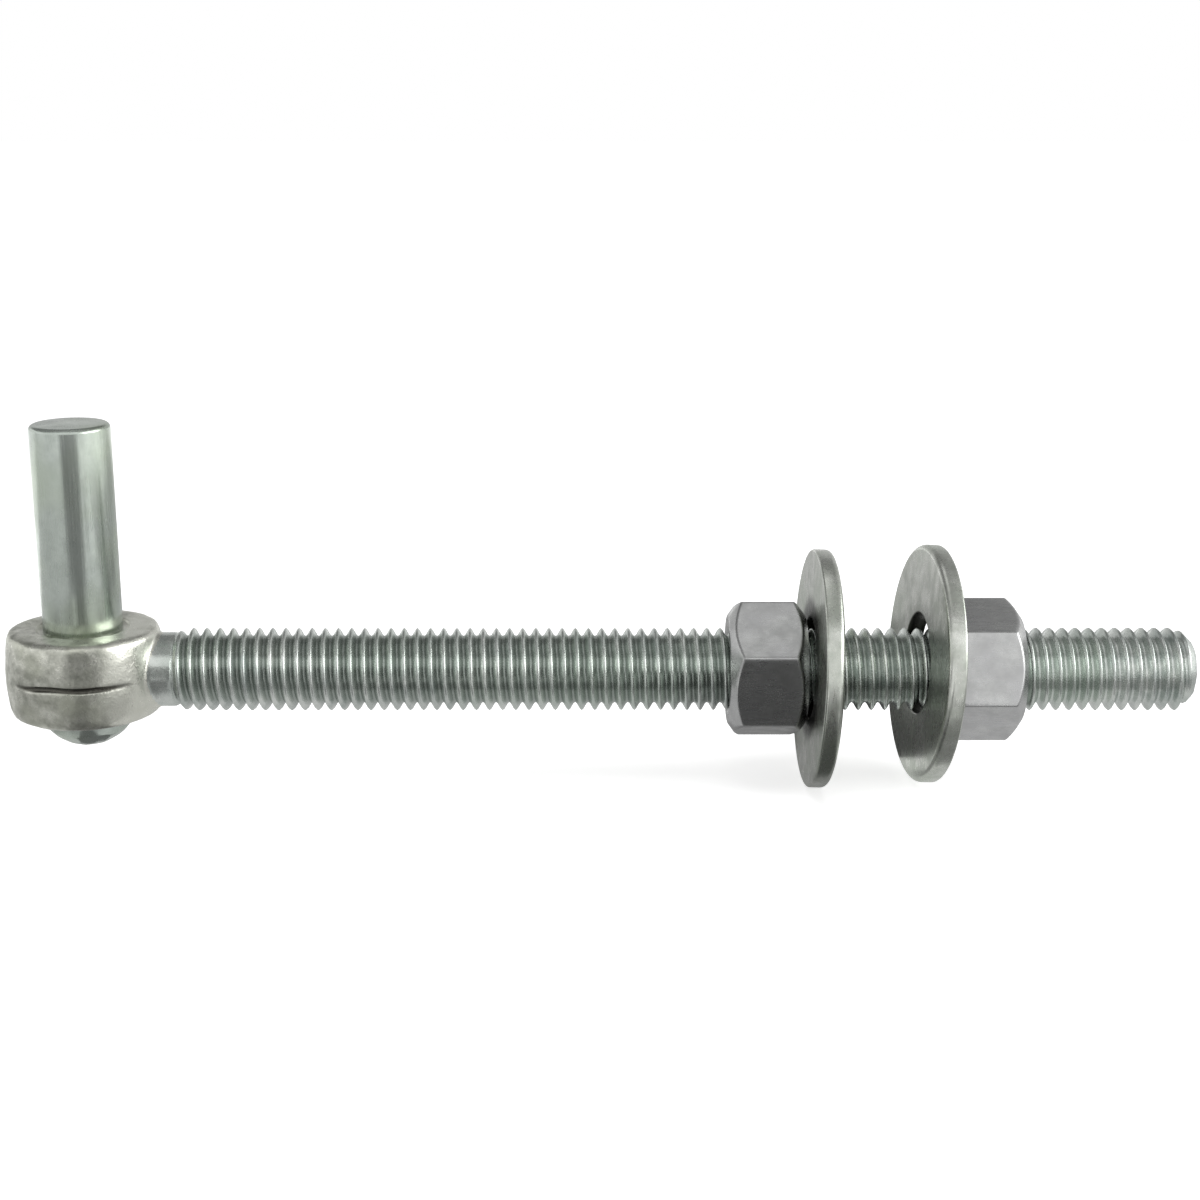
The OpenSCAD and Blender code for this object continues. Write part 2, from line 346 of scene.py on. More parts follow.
def forged_eye(tree, given):
    """The forging as a solid worked out from distances: eye, parting groove, neck, bore and seat."""
    place = add(tree, "GeometryNodeInputPosition")
    part = add(tree, SEPARATE, {0: place}).outputs
    out = distance(tree, X=part["X"], Y=part["Y"])
    up = add(tree, MATH, {0: part["Z"], 1: given["Axis"]}, "SUBTRACT")
    half = add(tree, MATH, {0: given["Eye height"], 1: 0.5}, "MULTIPLY")

    # The dies leave shallow hollows a few millimetres across.
    hollows = add(tree, NOISE, {"Vector": place, "Scale": 1 / HOLLOW_SIZE, "Detail": 2.0})
    uneven = add(tree, MATH, {0: hollows, 1: 0.5}, "SUBTRACT")
    uneven = add(tree, MATH, {0: uneven, 1: given["Forge bump"]}, "MULTIPLY")

    # The side bulges, and the top and bottom run into it over soft edges.
    level = add(tree, MATH, {0: up, 1: half}, "DIVIDE")
    level = add(tree, MATH, {0: level, 1: level}, "MULTIPLY")
    side = add(tree, MATH, {0: out, 1: given["Eye radius"]}, "SUBTRACT")
    side = add(tree, MATH, {0: level, 1: given["Crown"], 2: side}, "MULTIPLY_ADD")
    top = add(tree, MATH, {0: up, 1: half}, "SUBTRACT")
    bottom = add(tree, MATH, {0: up, 1: -1.0}, "MULTIPLY")
    bottom = add(tree, MATH, {0: bottom, 1: half}, "SUBTRACT")
    body = add(tree, MATH, {0: side, 1: top, 2: given["Top edge"]}, "SMOOTH_MAX")
    body = add(tree, MATH, {0: body, 1: bottom, 2: given["Bottom edge"]}, "SMOOTH_MAX")
    body = add(tree, MATH, {0: body, 1: uneven}, "ADD")

    groove = parting_line(tree, part, up, given["Groove centre"])
    groove = add(tree, MATH, {0: given["Groove radius"], 1: groove}, "SUBTRACT")
    body = add(tree, MATH, {0: body, 1: groove, 2: 0.5 * MM}, "SMOOTH_MAX")

    # The neck flows out of the eye and ends just inside the first turn of the thread.
    bar = distance(tree, Y=part["Y"], Z=up)
    bar = add(tree, MATH, {0: bar, 1: given["Neck radius"]}, "SUBTRACT")
    end = add(tree, MATH, {0: part["X"], 1: given["Neck end"]}, "SUBTRACT")
    bar = add(tree, MATH, {0: bar, 1: end, 2: 1.2 * MM}, "SMOOTH_MAX")
    inner = add(tree, MATH, {0: 0.0, 1: part["X"]}, "SUBTRACT")
    bar = add(tree, MATH, {0: bar, 1: inner}, "MAXIMUM")
    body = add(tree, MATH, {0: body, 1: bar, 2: given["Neck blend"]}, "SMOOTH_MIN")

    # The bore takes the pin's tenon, and the spot face seats its shoulder.
    bore = add(tree, MATH, {0: given["Bore radius"], 1: out}, "SUBTRACT")
    body = add(tree, MATH, {0: body, 1: bore, 2: 0.3 * MM}, "SMOOTH_MAX")
    wall = add(tree, MATH, {0: given["Seat radius"], 1: out}, "SUBTRACT")
    floor = add(tree, MATH, {0: half, 1: given["Seat depth"]}, "SUBTRACT")
    floor = add(tree, MATH, {0: up, 1: floor}, "SUBTRACT")
    seat = add(tree, MATH, {0: wall, 1: floor}, "MINIMUM")
    body = add(tree, MATH, {0: body, 1: seat, 2: 0.5 * MM}, "SMOOTH_MAX")
    inside = add(tree, MATH, {0: body, 1: -1.0}, "MULTIPLY")
    box = {"Min": given["Low"], "Max": given["High"]}
    cells = {"Resolution " + axis: given["Cells " + axis] for axis in "XYZ"}
    solid = add(
        tree, "GeometryNodeVolumeCube", {"Density": inside, "Background": -1.0, **box, **cells}
    )
    return add(tree, "GeometryNodeVolumeToMesh", {"Volume": solid, "Threshold": 0.0})


def rolled_thread(tree, given, profile):
    """The threaded shank as one helical sheet, closed inside the eye and across the tip."""
    counts = {"Vertices X": given["Rows"], "Vertices Y": given["Around"]}
    grid = add(tree, "GeometryNodeMeshGrid", counts)
    place = add(tree, "GeometryNodeInputPosition")
    half = add(tree, VECTOR_MATH, {0: place, 1: (0.5, 0.5, 0.5)})
    share = add(tree, SEPARATE, {0: half}).outputs
    along = add(tree, MATH, {0: share["X"], 1: given["Span"], 2: given["First"]}, "MULTIPLY_ADD")
    run = add(tree, MATH, {0: share["Y"], 1: given["Pitch"], 2: along}, "MULTIPLY_ADD")
    x = add(tree, "ShaderNodeClamp", {"Value": run, "Min": given["Shank start"], "Max": given["Tip"]})
    thread = thread_radius(tree, given, profile, along)
    # The first turns rise out of the neck.
    full = add(tree, MATH, {0: given["Pitch"], 1: 1.4, 2: given["Thread start"]}, "MULTIPLY_ADD")
    grow = ramp(tree, x, given["Thread start"], full, blend="SMOOTHSTEP")
    radius = add(tree, MIX, {0: grow, 2: given["Blank radius"], 3: thread})
    # A 45 degree chamfer runs down to the flat tip, and both ends close at the axis.
    past = add(tree, MATH, {0: given["Tip"], 1: run}, "SUBTRACT")
    past = add(tree, MATH, {0: past, 1: given["Tip radius"]}, "ADD")
    before = add(tree, MATH, {0: run, 1: given["Shank start"]}, "SUBTRACT")
    before = add(tree, MATH, {0: before, 1: given["Blank radius"]}, "ADD")
    radius = add(tree, MATH, {0: radius.outputs[0], 1: past}, "MINIMUM")
    radius = add(tree, MATH, {0: radius, 1: before}, "MINIMUM")
    radius = add(tree, MATH, {0: radius, 1: 0.0}, "MAXIMUM")
    turn = add(tree, MATH, {0: share["Y"], 1: math.tau}, "MULTIPLY")
    bent = rolled_up(tree, grid, x, radius, turn, given["Axis"])
    return add(tree, "GeometryNodeMergeByDistance", {"Geometry": bent, "Distance": 2e-6})


def eye_bolt_tree(profile, values):
    """Forged eye and threaded shank, joined into one solid."""
    tree, given = new_tree("Eye bolt", values)
    eye = forged_eye(tree, given)
    thread = rolled_thread(tree, given, profile)
    # The helical sheet comes out of its grid inside out.
    thread = add(tree, "GeometryNodeFlipFaces", {"Mesh": thread})
    whole = add(tree, "GeometryNodeMeshBoolean", operation="UNION", solver="MANIFOLD")
    tree.links.new(thread.outputs[0], whole.inputs["Mesh 2"])
    tree.links.new(eye.outputs[0], whole.inputs["Mesh 2"])
    real = add(tree, "GeometryNodeRealizeInstances", {"Geometry": whole})
    forged = add(tree, "GeometryNodeSetMaterial", {"Geometry": real, "Material": given["Forged zinc"]})
    place = add(tree, "GeometryNodeInputPosition")
    part = add(tree, SEPARATE, {0: place}).outputs
    # The neck, from where it leaves the eye's side, was plated as bright as the thread.
    out = distance(tree, X=part["X"], Y=part["Y"])
    side = add(tree, MATH, {0: given["Eye radius"], 1: 0.3 * MM})
    past = add(tree, MATH, {0: out, 1: side}, "GREATER_THAN")
    ahead = add(tree, MATH, {0: part["X"], 1: 0.0}, "GREATER_THAN")
    threaded = add(tree, MATH, {0: past, 1: ahead}, "MULTIPLY")
    dressed = add(
        tree,
        "GeometryNodeSetMaterial",
        {"Geometry": forged, "Selection": threaded, "Material": given["Thread zinc"]},
    )
    add(tree, "NodeGroupOutput", {"Geometry": dressed})
    return tree


def hex_turn(tree, share, turn):
    """Spreads points round a nut, close together at its six corners; gives turn and flat angle."""
    six = add(tree, MATH, {0: share, 1: 6.0}, "MULTIPLY")
    side = add(tree, MATH, {0: six}, "FLOOR")
    part = add(tree, MATH, {0: six}, "FRACT")
    part = add(tree, MATH, {0: part, 1: 2.0, 2: -1.0}, "MULTIPLY_ADD")
    cube = add(tree, MATH, {0: part, 1: 3.0}, "POWER")
    cube = add(tree, MATH, {0: cube, 1: -0.5}, "MULTIPLY")
    part = add(tree, MATH, {0: part, 1: 1.5, 2: cube}, "MULTIPLY_ADD")
    flat = add(tree, MATH, {0: part, 1: math.pi / 6}, "MULTIPLY")
    middle = add(tree, MATH, {0: side, 1: math.pi / 3, 2: math.pi / 6}, "MULTIPLY_ADD")
    middle = add(tree, MATH, {0: middle, 1: turn}, "ADD")
    return add(tree, MATH, {0: middle, 1: flat}, "ADD"), flat


def hex_nut_tree(profile, values):
    """A chamfered hex nut on the shank, with its own thread inside."""
    tree, given = new_tree("Hex nut", values)
    place = add(tree, "GeometryNodeInputPosition")
    half = add(tree, VECTOR_MATH, {0: place, 1: (0.5, 0.5, 0.5)})
    share = add(tree, SEPARATE, {0: half}).outputs
    turn, flat = hex_turn(tree, share["Y"], given["Turn"])

    # Outside: from one mouth over the face, chamfer, flats, chamfer and face to the other mouth.
    counts = {"Vertices X": given["Rows"], "Vertices Y": given["Around"]}
    outside = add(tree, "GeometryNodeMeshGrid", counts)
    cosine = add(tree, MATH, {0: flat}, "COSINE")
    hexagon = add(tree, MATH, {0: given["Half flats"], 1: cosine}, "DIVIDE")
    hexagon = add(tree, MATH, {0: hexagon, 1: given["Corner radius"], 2: given["Edge"]}, "SMOOTH_MIN")
    ring = add(tree, MATH, {0: given["Face radius"], 1: given["Mouth radius"]}, "SUBTRACT")
    # Rows lie close together near both ends, where the chamfers are.
    swing = add(tree, MATH, {0: share["X"], 1: 2.0, 2: -1.0}, "MULTIPLY_ADD")
    cube = add(tree, MATH, {0: swing, 1: 3.0}, "POWER")
    cube = add(tree, MATH, {0: cube, 1: -0.25, 2: 0.5}, "MULTIPLY_ADD")
    close = add(tree, MATH, {0: swing, 1: 0.75, 2: cube}, "MULTIPLY_ADD")
    total = add(tree, MATH, {0: given["Height"], 1: ring}, "ADD")
    run = add(tree, MATH, {0: close, 1: total}, "MULTIPLY")
    # Each face takes half its width of the run, so it rises twice as fast as the run.
    step = add(tree, MATH, {0: ring, 1: -0.5, 2: run}, "MULTIPLY_ADD")
    x = add(tree, "ShaderNodeClamp", {"Value": step, "Min": 0.0, "Max": given["Height"]})
    rest = add(tree, MATH, {0: given["Height"], 1: x}, "SUBTRACT")
    near = add(tree, MATH, {0: x, 1: rest}, "MINIMUM")
    cone = add(tree, MATH, {0: near, 1: given["Cone"], 2: given["Face radius"]}, "MULTIPLY_ADD")
    radius = add(tree, MATH, {0: hexagon, 1: cone, 2: given["Edge"]}, "SMOOTH_MIN")
    left = add(tree, MATH, {0: total, 1: run}, "SUBTRACT")
    inward = add(tree, MATH, {0: run, 1: left}, "MINIMUM")
    face = add(tree, MATH, {0: inward, 1: 2.0, 2: given["Mouth radius"]}, "MULTIPLY_ADD")
    radius = add(tree, MATH, {0: radius, 1: face}, "MINIMUM")
    x = add(tree, MATH, {0: x, 1: given["Left"]}, "ADD")
    outside = rolled_up(tree, outside, x, radius, turn, given["Axis"])

    # Inside: the bar's own thread, a little wider, countersunk at both mouths.
    counts = {"Vertices X": given["Thread rows"], "Vertices Y": given["Around"]}
    inside = add(tree, "GeometryNodeMeshGrid", counts)
    along = add(tree, MATH, {0: share["X"], 1: given["Span"], 2: given["First"]}, "MULTIPLY_ADD")
    lift = add(tree, MATH, {0: turn, 1: math.tau}, "DIVIDE")
    run = add(tree, MATH, {0: lift, 1: given["Pitch"], 2: along}, "MULTIPLY_ADD")
    step = add(tree, MATH, {0: run, 1: given["Left"]}, "SUBTRACT")
    x = add(tree, "ShaderNodeClamp", {"Value": step, "Min": 0.0, "Max": given["Height"]})
    thread = thread_radius(tree, given, profile, along)
    rest = add(tree, MATH, {0: given["Height"], 1: x}, "SUBTRACT")
    near = add(tree, MATH, {0: x, 1: rest}, "MINIMUM")
    mouth = add(tree, MATH, {0: given["Mouth radius"], 1: near}, "SUBTRACT")
    radius = add(tree, MATH, {0: thread, 1: mouth}, "MAXIMUM")
    x = add(tree, MATH, {0: x, 1: given["Left"]}, "ADD")
    inside = rolled_up(tree, inside, x, radius, turn, given["Axis"])

    both = add(tree, "GeometryNodeJoinGeometry")
    tree.links.new(outside.outputs[0], both.inputs[0])
    tree.links.new(inside.outputs[0], both.inputs[0])
    whole = add(tree, "GeometryNodeMergeByDistance", {"Geometry": both, "Distance": 2e-6})
    real = add(tree, "GeometryNodeRealizeInstances", {"Geometry": whole})
    dressed = add(tree, "GeometryNodeSetMaterial", {"Geometry": real, "Material": given["Nut zinc"]})
    add(tree, "NodeGroupOutput", {"Geometry": dressed})
    return tree


def rounded(corners, closed, steps=6):
    """Turns corners (radius, height, rounding) into points, with an arc at each rounded corner."""
    points = []
    for i, (r, z, fillet) in enumerate(corners):
        here = Vector((r, z))
        if fillet == 0 or (not closed and i in (0, len(corners) - 1)):
            points.append(here)
            continue
        back = (Vector(corners[i - 1][:2]) - here).normalized()
        ahead = (Vector(corners[(i + 1) % len(corners)][:2]) - here).normalized()
        half = back.angle(ahead) / 2
        middle = here + (back + ahead).normalized() * fillet / math.sin(half)
        first = here + back * fillet / math.tan(half) - middle
        last = here + ahead * fillet / math.tan(half) - middle
        sweep = first.angle_signed(last)
        for k in range(steps + 1):
            points.append(middle + Matrix.Rotation(-sweep * k / steps, 2) @ first)
    return points


def turned(name, points, closed, around, material):
    """Turns a half section about Z into a mesh object; an open section starts and ends on the axis."""
    shape = bmesh.new()
    rings = []
    for r, z in points:
        if r < 1e-9:
            rings.append([shape.verts.new((0, 0, z))] * around)
            continue
        turns = [math.tau * k / around for k in range(around)]
        rings.append([shape.verts.new((r * math.cos(t), r * math.sin(t), z)) for t in turns])
    pairs = list(zip(rings, rings[1:] + rings[:1])) if closed else list(zip(rings, rings[1:]))
    for low, high in pairs:
        for k in range(around):
            n = (k + 1) % around
            corners = dict.fromkeys((low[k], low[n], high[n], high[k]))
            shape.faces.new(corners)
    mesh = bpy.data.meshes.new(name)
    shape.to_mesh(mesh)
    shape.free()
    mesh.materials.append(material)
    piece = bpy.data.objects.new(name, mesh)
    bpy.context.scene.collection.objects.link(piece)
    return piece


def washer_place(node):
    """Reads a washer's centre and axis off its solid: the axis is the way it is thinnest."""
    points = [vertex.co for vertex in frame["nodes"][node].data.vertices]
    low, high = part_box(node)
    middle = (low + high) / 2
    axis = Vector((1, 0, 0))
    spread = Matrix(((0, 0, 0), (0, 0, 0), (0, 0, 0)))
    for point in points:
        arm = point - middle
        spread = spread + Matrix([[a * b for b in arm] for a in arm])
    # Each turn by the inverse pulls the axis closer to the thinnest way.
    thin = spread.inverted()
    for _ in range(AXIS_STEPS):
        axis = (thin @ axis).normalized()
    heights = [point.dot(axis) for point in points]
    centre = middle + axis * ((min(heights) + max(heights)) / 2 - middle.dot(axis))
    return centre, axis


def zinc_plate(name, finish, kind, cloud_mm, grain_mm, roughness, relief_mm):
    """Bright zinc plate with a clear passivated film.

    A metal mirror that is a little soft: light and dull clouds where the plate is thicker or
    thinner, a faint coloured film, and fine marks of the steel below that still show through.
    The kind says which of the finish's colours it takes. Returns the material, its colour socket,
    its shader and its place on the piece.
    """
    light, shade, film = [(*getattr(finish, kind + part), 1) for part in ("_light", "_shade", "_film")]
    made = bpy.data.materials.new(name)
    tree = bare_tree(made)
    place = add(tree, "ShaderNodeTexCoord").outputs["Object"]
    clouds = add(
        tree, NOISE, {"Vector": place, "Scale": 1 / (cloud_mm * MM), "Detail": 5.0, "Roughness": 0.62}
    )
    clear = ramp(tree, clouds, 0.32, 0.68)
    tone = add(tree, MIX, {0: clear, 6: shade, 7: light}, data_type="RGBA")
    patches = add(tree, NOISE, {"Vector": place, "Scale": 1 / (3 * cloud_mm * MM), "Detail": 2.0})
    patch = ramp(tree, patches, 0.42, 0.66, last=0.75)
    tone = add(tree, MIX, {0: patch, 6: tone.outputs[2], 7: film}, data_type="RGBA")
    stretch = add(
        tree, "ShaderNodeMapping", {"Vector": place, "Scale": [1 / (size * MM) for size in grain_mm]}
    )
    grain = add(tree, NOISE, {"Vector": stretch, "Scale": 1.0, "Detail": 3.0})
    mixed = add(tree, MATH, {0: clouds, 1: grain}, "ADD")
    smooth, dull = roughness
    rough = ramp(tree, mixed, 0.7, 1.3, first=dull, last=smooth)
    relief = add(tree, "ShaderNodeBump", {"Height": grain, "Distance": relief_mm * MM})
    shader = add(
        tree,
        "ShaderNodeBsdfPrincipled",
        {"Base Color": tone.outputs[2], "Metallic": 1.0, "Roughness": rough, "Normal": relief},
    )
    add(tree, "ShaderNodeOutputMaterial", {"Surface": shader})
    return made, tone.outputs[2], shader, place


def with_painted_shade(made, shader, tone, unshaded, shade_tone):
    """Mixes painted shade into a material's colour wherever the mask is below one."""
    tree = made.node_tree
    mixed = add(tree, MIX, {0: unshaded, 6: (*shade_tone, 1), 7: tone}, data_type="RGBA")
    tree.links.new(mixed.outputs[2], shader.inputs["Base Color"])
    return made


def forged_zinc(finish, sizes):
    """Zinc over a drop forging: grey and mottled, with painted shade in the parting groove and painted
    light on the side by the neck.
    """
    made, tone, shader, place = zinc_plate(
        "zinc plated forged steel",
        finish,
        "forged",
        cloud_mm=2.6,
        grain_mm=(0.5, 0.5, 0.5),
        roughness=(0.24, 0.42),
        relief_mm=0.05,
    )
    tree = made.node_tree
    part = add(tree, SEPARATE, {0: place}).outputs
    # The side by the neck is painted lighter, as painted light.
    bright = ramp(tree, part["X"], *BRIGHT, last=0.8, blend="SMOOTHSTEP")
    light = (*finish.forged_light, 1)
    tone = add(tree, MIX, {0: bright, 6: tone, 7: light}, data_type="RGBA").outputs[2]
    up = add(tree, MATH, {0: part["Z"], 1: AXIS_Z}, "SUBTRACT")
    # Painted shade darkens the parting groove.
    groove = parting_line(tree, part, up, -EYE_LOW.x + sizes.groove_r - sizes.groove_depth)
    unshaded = ramp(tree, groove, sizes.groove_r, 1.5 * sizes.groove_r)
    return with_painted_shade(made, shader, tone, unshaded, finish.forged_groove_shade)


def thread_zinc(finish, sizes):
    """Zinc over a rolled thread: burnished crests, and painted shade down in the roots."""
    made, tone, shader, place = zinc_plate(
        "zinc plated rolled thread",
        finish,
        "thread",
        cloud_mm=6.0,
        grain_mm=(0.6, 0.6, 0.6),
        roughness=(0.2, 0.34),
        relief_mm=0.02,
    )
    tree = made.node_tree
    part = add(tree, SEPARATE, {0: place}).outputs
    up = add(tree, MATH, {0: part["Z"], 1: AXIS_Z}, "SUBTRACT")
    radius = distance(tree, Y=part["Y"], Z=up)
    crest = sizes.crest_d / 2
    root = crest - sizes.thread_depth
    flank = crest - 0.45 * sizes.thread_depth
    # Painted shade darkens the thread towards its roots.
    unshaded = ramp(tree, radius, root, flank)
    # The painted root shade is left off the free end and the plain neck, which paints them lighter.
    spans = (FREE_END, (sizes.thread_start + sizes.pitch, sizes.thread_start))
    for start, end in spans:
        shade_off = ramp(tree, part["X"], start, end)
        unshaded = add(tree, MATH, {0: unshaded, 1: shade_off}, "MAXIMUM")
    return with_painted_shade(made, shader, tone, unshaded, finish.thread_root_shade)


def pin_zinc(finish):
    """Zinc over a drawn and turned bar: smooth, with fine lines along the pin."""
    return zinc_plate(
        "zinc plated drawn bar",
        finish,
        "pin",
        cloud_mm=5.0,
        grain_mm=(0.35, 0.35, 14.0),
        roughness=(0.18, 0.3),
        relief_mm=0.012,
    )[0]


def nut_zinc(finish):
    """Zinc over a cold formed nut: even and smooth, a little dull."""
    return zinc_plate(
        "zinc plated nut",
        finish,
        "nut",
        cloud_mm=4.0,
        grain_mm=(3.0, 0.5, 0.5),
        roughness=(0.22, 0.36),
        relief_mm=0.006,
    )[0]


def washer_zinc(name, finish, sizes, centre, axis):
    """Zinc over punched sheet: satin, with small scuffs.

    A painted shadow of the nut darkens the ring under it, on the side that the axis points to, and
    painted shade darkens the wall of the hole on both sides.
    """
    made, tone, shader, place = zinc_plate(
        name,
        finish,
        "washer",
        cloud_mm=4.0,
        grain_mm=(0.5, 0.4, 3.0),
        roughness=(0.22, 0.36),
        relief_mm=0.02,
    )
    tree = made.node_tree
    arm = add(tree, VECTOR_MATH, {0: place, 1: centre}, "SUBTRACT")
    height = add(tree, VECTOR_MATH, {0: arm, 1: axis}, "DOT_PRODUCT").outputs["Value"]
    along = add(tree, VECTOR_MATH, {0: axis, "Scale": height}, "SCALE")
    flat = add(tree, VECTOR_MATH, {0: arm, 1: along}, "SUBTRACT")
    radius = add(tree, VECTOR_MATH, {0: flat}, "LENGTH").outputs["Value"]
    # A painted shadow of the nut darkens the ring under it, on the nut's side.
    nut_r = sizes.nut_flats / 2
    nut_shadow = ramp(tree, radius, nut_r, nut_r + 3 * MM, blend="SMOOTHSTEP")
    far_side = add(tree, MATH, {0: height, 1: 0.0}, "LESS_THAN")
    unshaded = add(tree, MATH, {0: nut_shadow, 1: far_side}, "MAXIMUM")
    # Painted shade darkens the wall of the hole.
    hole_r = sizes.washer_hole_d / 2
    off_hole_wall = ramp(tree, radius, hole_r + 0.1 * MM, hole_r + 0.6 * MM)
    unshaded = add(tree, MATH, {0: unshaded, 1: off_hole_wall}, "MINIMUM")
    return with_painted_shade(made, shader, tone, unshaded, finish.washer_painted_shade)


class MakeEyeBolt(bpy.types.Operator):
    """Forges the eye and rolls the thread on its shank"""

    bl_idname = "gate_hook.eye_bolt"
    bl_label = "Eye bolt"

    def execute(self, context):
        sizes, finish = context.scene.hook_sizes, context.scene.hook_finishes
        eye_r = -EYE_LOW.x
        step = sizes.pitch / THREAD_POINTS
        first = math.floor((SHANK_START - sizes.neck_d / 2 - sizes.pitch) / step) * step
        last = EYE_HIGH.x + sizes.tip_d / 2
        rows = math.ceil((last - first) / step) + 1
        margin = 1.2 * MM
        neck_end = sizes.thread_start + 0.5 * MM
        low = Vector((-eye_r - margin, -eye_r - margin, EYE_LOW.z - margin))
        high = Vector((neck_end + margin, eye_r + margin, margin))
        cells = [math.ceil(side / sizes.voxel) for side in high - low]
        values = {
            "Axis": AXIS_Z,
            "Eye radius": eye_r,
            "Eye height": -EYE_LOW.z,
            "Crown": sizes.eye_crown,
            "Top edge": sizes.eye_top_edge,
            "Bottom edge": sizes.eye_bottom_edge,
            "Forge bump": sizes.forge_bump,
            "Groove centre": eye_r + sizes.groove_r - sizes.groove_depth,
            "Groove radius": sizes.groove_r,
            "Neck radius": sizes.neck_d / 2,
            "Neck end": neck_end,
            "Neck blend": sizes.neck_blend,
            "Bore radius": sizes.bore_d / 2,
            "Seat radius": sizes.seat_d / 2,
            "Seat depth": sizes.seat_depth,
            "Span": (rows - 1) * step,
            "First": first,
            "Pitch": sizes.pitch,
            "Shank start": SHANK_START,
            "Tip": EYE_HIGH.x,
            "Tip radius": sizes.tip_d / 2,
            "Crest radius": sizes.crest_d / 2,
            "Thread depth": sizes.thread_depth,
            "Thread start": sizes.thread_start - 0.8 * MM,
            "Blank radius": sizes.neck_d / 2 - 0.2 * MM,
            "Low": low,
            "High": high,
            "Cells X": cells[0],
            "Cells Y": cells[1],
            "Cells Z": cells[2],
            "Rows": rows,
            "Around": SHANK_AROUND,
            "Forged zinc": forged_zinc(finish, sizes),
            "Thread zinc": thread_zinc(finish, sizes),
        }
        piece = grown("eye_bolt_forging", eye_bolt_tree(thread_profile_tree(), values), values)
        set_on(piece, "hook", "eye_bolt")
        return {"FINISHED"}


class MakeHingePin(bpy.types.Operator):
    """Turns the hinge pin and rivets its tail under the eye"""

    bl_idname = "gate_hook.hinge_pin"
    bl_label = "Hinge pin"

    def execute(self, context):
        sizes = context.scene.hook_sizes
        pin_r = MOUNTS["hinge_pin"]["dims"]["r_mm"] * MM
        tenon_r = sizes.tenon_d / 2
        rivet_r = PIN_HIGH.x
        under = EYE_LOW.z
        edge = under - sizes.rivet_edge
        dome = edge - PIN_LOW.z
        dome_r = (rivet_r**2 + dome**2) / (2 * dome)
        corners = [
            (0, PIN_HIGH.z, 0),
            (pin_r, PIN_HIGH.z, sizes.pin_edge),
            (pin_r, -sizes.seat_depth, 0.15 * MM),
            (tenon_r, -sizes.seat_depth, 0),
            (tenon_r, under, 0),
            (rivet_r, under, 0.5 * MM),
        ]
        points = rounded(corners + [(rivet_r, edge, 0)], closed=False)
        tilt = math.asin(rivet_r / dome_r)
        for k in range(1, DOME_STEPS + 1):
            t = tilt * (1 - k / DOME_STEPS)
            points.append((dome_r * math.sin(t), PIN_LOW.z + dome_r * (1 - math.cos(t))))
        piece = turned(
            "hinge_pin_riveted", points, False, PIN_AROUND, pin_zinc(context.scene.hook_finishes)
        )
        # The hammer left the riveted head a little uneven.
        for vertex in piece.data.vertices:
            if vertex.co.z < under - 0.1 * MM:
                dent = noise.noise(vertex.co / (3.2 * MM)) * 0.18 * MM
                vertex.co.z += abs(dent)
                vertex.co.xy *= 1 - abs(dent) / rivet_r
        outward(piece.data)
        set_on(piece, "hook", "hinge_pin")
        return {"FINISHED"}


class MakeNuts(bpy.types.Operator):
    """Makes the two hex nuts, threaded to run on the shank"""

    bl_idname = "gate_hook.nuts"
    bl_label = "Nuts"

    def execute(self, context):
        sizes = context.scene.hook_sizes
        material = nut_zinc(context.scene.hook_finishes)
        profile = thread_profile_tree()
        step = sizes.pitch / THREAD_POINTS
        turns = {"inner_nut": sizes.inner_nut_turn, "outer_nut": sizes.outer_nut_turn}
        for node, turn in turns.items():
            low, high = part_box(node)
            height = high.x - low.x
            # The helix starts a full turn before the nut, whichever way the nut is turned.
            reach = sizes.pitch * (2 + abs(turn) / math.tau)
            first = math.floor((low.x - reach) / step) * step
            rows = math.ceil((height + 2 * reach) / step) + 1
            values = {
                "Axis": AXIS_Z,
                "Left": low.x,
                "Height": height,
                "Half flats": sizes.nut_flats / 2,
                "Corner radius": sizes.nut_flats / math.sqrt(3) - 0.1 * MM,
                "Face radius": sizes.nut_face_d / 2,
                "Mouth radius": sizes.nut_mouth_d / 2,
                "Cone": 1 / math.tan(sizes.nut_chamfer),
                "Edge": sizes.nut_edge,
                "Turn": turn,
                "Pitch": sizes.pitch,
                "Crest radius": sizes.crest_d / 2 + sizes.nut_clearance,
                "Thread depth": sizes.thread_depth,
                "First": first,
                "Span": (rows - 1) * step,
                "Rows": NUT_ROWS,
                "Thread rows": rows,
                "Around": NUT_AROUND,
                "Nut zinc": material,
            }
            piece = grown(node + "_formed", hex_nut_tree(profile, values), values)
            set_on(piece, node, node)
        return {"FINISHED"}


class MakeWashers(bpy.types.Operator):
    """Punches the two large washers and leans them on the shank"""

    bl_idname = "gate_hook.washers"
    bl_label = "Washers"

    def execute(self, context):
        sizes = context.scene.hook_sizes
        outer, hole = sizes.washer_d / 2, sizes.washer_hole_d / 2
        half = sizes.washer_t / 2
        roll, burr = sizes.washer_roll, sizes.washer_burr
        corners = [(hole, -half, burr), (outer, -half, burr), (outer, half, roll), (hole, half, burr)]
        # The punch drew each washer's outer edge over on the side that faces the post.
        for node, side in {"inner_washer": 1, "outer_washer": -1}.items():
            centre, axis = washer_place(node)
            if axis.x * side < 0:
                axis = -axis
            material = washer_zinc(
                "zinc plated sheet, " + node, context.scene.hook_finishes, sizes, centre, -axis
            )
            piece = turned(node + "_punched", rounded(corners, True), True, WASHER_AROUND, material)
            upright = axis.to_track_quat("Z", "Y").to_matrix().to_4x4()
            piece.data.transform(Matrix.Translation(centre) @ upright)
            outward(piece.data)
            set_on(piece, node, node)
        return {"FINISHED"}


def oblong(x0, x1, y0, y1):
    """Corners of a rectangle, from its lowest and highest places on two axes."""
    return [(x0, y0), (x1, y0), (x1, y1), (x0, y1)]


